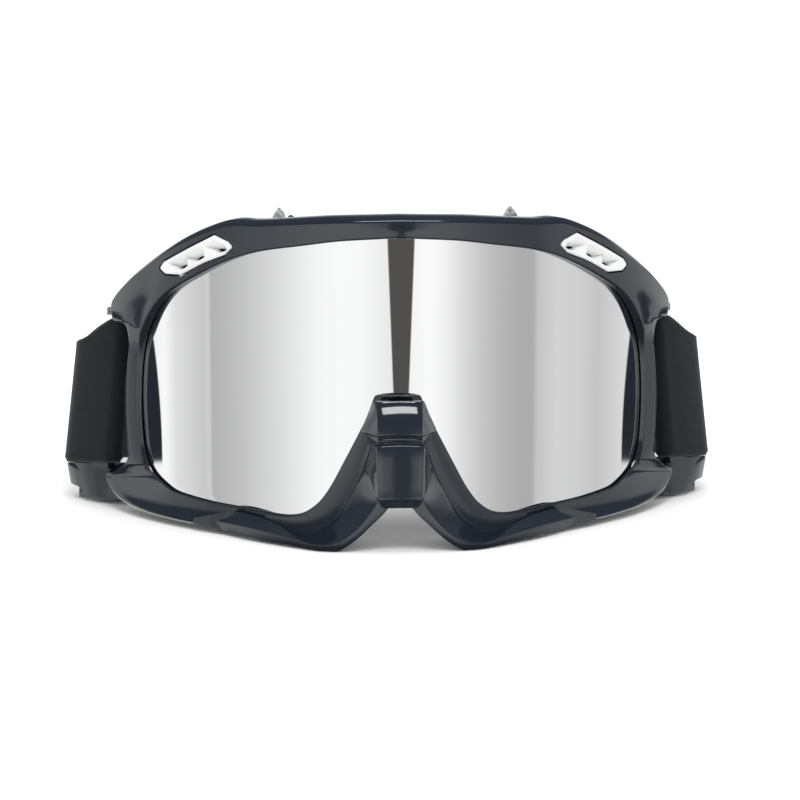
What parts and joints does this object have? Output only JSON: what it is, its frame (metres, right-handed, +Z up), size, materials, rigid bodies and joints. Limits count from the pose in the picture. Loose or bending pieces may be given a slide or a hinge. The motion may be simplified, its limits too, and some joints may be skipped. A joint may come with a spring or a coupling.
{
  "type": "motorcycle goggles",
  "caption": "Off-road riding goggles: curved mirror lens in a gloss bezel, rear frame with face foam, nose guard, louvred corner vents, and an elastic head strap with sliding adjusters.",
  "frame": {"origin": "middle of the footprint, at the height of the table the goggles stand on", "axes": "+X to the right as seen from the front, +Y from the lens back towards the wearer, +Z up"},
  "size_m": [0.2022, 0.2326, 0.0963],
  "materials": {
    "shell": "high-gloss blue-black moulded plastic",
    "mirror_lens": "silver mirror coating on polycarbonate",
    "frame_plastic": "semi-matte flexible black plastic",
    "vent_white": "white satin plastic",
    "face_foam": "open-cell black foam",
    "filter_foam": "grey open-pore filter foam",
    "fleece": "brushed charcoal fleece",
    "webbing": "woven elastic webbing, charcoal",
    "slider_plastic": "black acetal",
    "grip": "translucent silicone grip strip"
  },
  "bodies": {
    "root": {"front_bezel": "shell", "lens": "mirror_lens", "nose_guard": "shell", "main_frame": "frame_plastic", "vent_insert_right": "vent_white", "vent_insert_left": "vent_white", "vent_filter_right": "face_foam", "vent_filter_left": "face_foam", "roof_filter_right": "filter_foam", "roof_filter_left": "filter_foam", "floor_filter_right": "filter_foam", "floor_filter_left": "filter_foam", "face_foam": "face_foam", "foam_liner": "fleece", "strap_wrap_right": "webbing", "strap_wrap_left": "webbing", "strap_side_right": "webbing", "strap_side_left": "webbing", "strap_return_right": "webbing", "strap_return_left": "webbing"},
    "rear_strap": {"strap_rear": "webbing"},
    "slider_right": {"strap_slider_right": "slider_plastic", "strap_hem_right": "webbing"},
    "slider_left": {"strap_slider_left": "slider_plastic", "strap_hem_left": "webbing"}
  },
  "joints": [
    {"name": "strap_extend", "type": "slide", "parent": "root", "child": "rear_strap", "axis": [0, 1, 0], "range_m": [0, 0.018], "deforming": ["strap_side_right", "strap_side_left", "strap_return_right", "strap_return_left"]},
    {"name": "slider_right_shift", "type": "slide", "parent": "root", "child": "slider_right", "axis": [0, -1, 0], "range_m": [0, 0.018]},
    {"name": "slider_left_shift", "type": "slide", "parent": "root", "child": "slider_left", "axis": [0, -1, 0], "range_m": [0, 0.018]}
  ],
  "couplings": [
    {"joint": "slider_right_shift", "follows": "strap_extend", "ratio": 1},
    {"joint": "slider_left_shift", "follows": "strap_extend", "ratio": 1}
  ]
}
